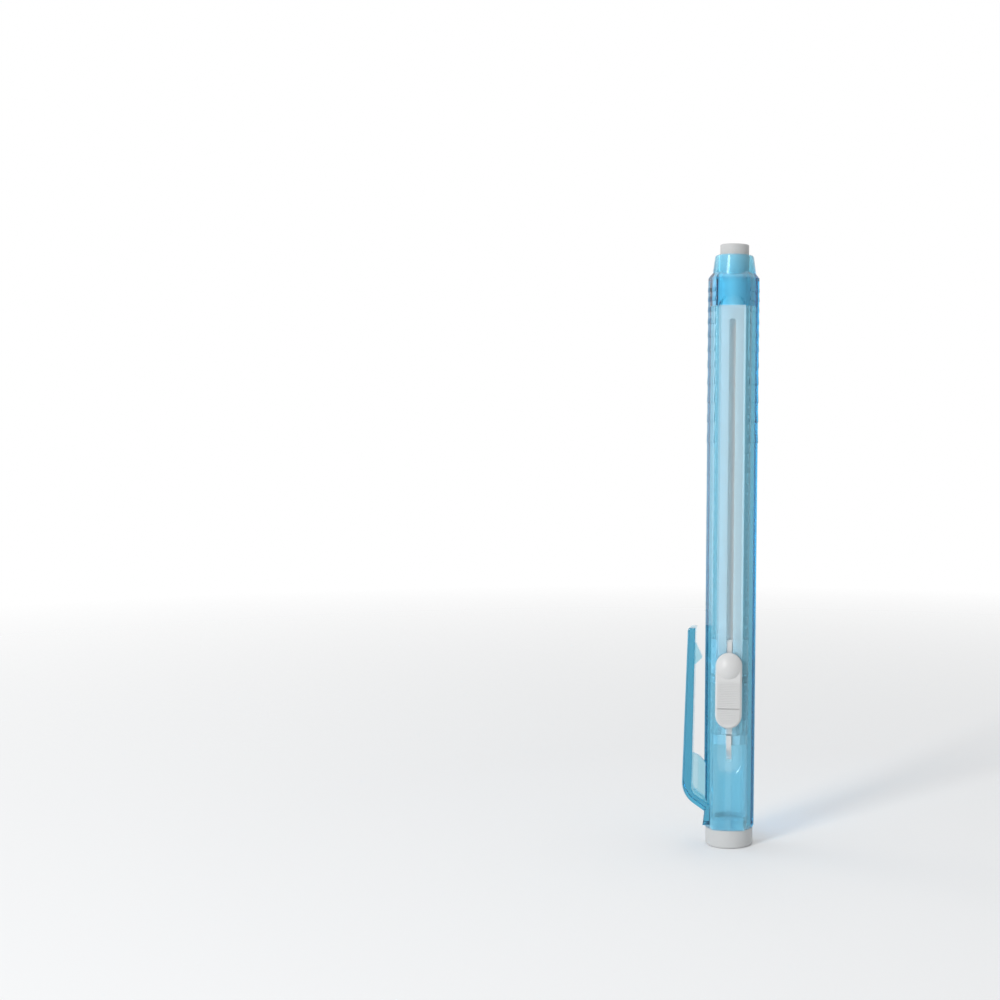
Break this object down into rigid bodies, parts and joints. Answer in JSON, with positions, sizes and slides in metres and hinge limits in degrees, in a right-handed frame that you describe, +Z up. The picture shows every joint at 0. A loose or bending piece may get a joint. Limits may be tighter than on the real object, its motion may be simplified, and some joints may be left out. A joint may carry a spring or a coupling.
{
  "type": "pencil eraser stick",
  "caption": "Slim pen-shaped eraser: a long round eraser stick in a clear six-sided barrel with grip ribs and a moulded pocket clip, pushed out by a latching slide button.",
  "frame": {"origin": "centre of the end cap's flat bottom face", "axes": "+Z runs up the pen from the end cap to the eraser's tip, -Y faces the slide button's side, -X points to the pocket clip"},
  "size_m": [0.0152, 0.0123, 0.1265],
  "materials": {
    "clear_blue_plastic": "clear tinted plastic, glossy",
    "pale_grey_plastic": "satin",
    "white_plastic": "smooth matt",
    "eraser_vinyl": "soft matt vinyl"
  },
  "bodies": {
    "barrel_body": {"barrel": "clear_blue_plastic", "end_cap": "pale_grey_plastic"},
    "holder": {"eraser_holder": "white_plastic"},
    "button": {"latch_arm": "white_plastic", "slide_button": "pale_grey_plastic"},
    "eraser": {"eraser_stick": "eraser_vinyl"}
  },
  "joints": [
    {"name": "eraser_advance", "type": "slide", "parent": "barrel_body", "child": "holder", "axis": [0, 0, 1], "range_m": [-0.008, 0.0668]},
    {"name": "button_press", "type": "hinge", "parent": "holder", "child": "button", "pos_m": [0, -0.0032, 0.02445], "axis": [-1, 0, 0], "range_deg": [0, 1.5], "stiffness_Nm_per_rad": 0.1, "springref_deg": -0.57},
    {"name": "eraser_pull", "type": "slide", "parent": "holder", "child": "eraser", "axis": [0, 0, 1], "range_m": [0, 0.0065]}
  ]
}
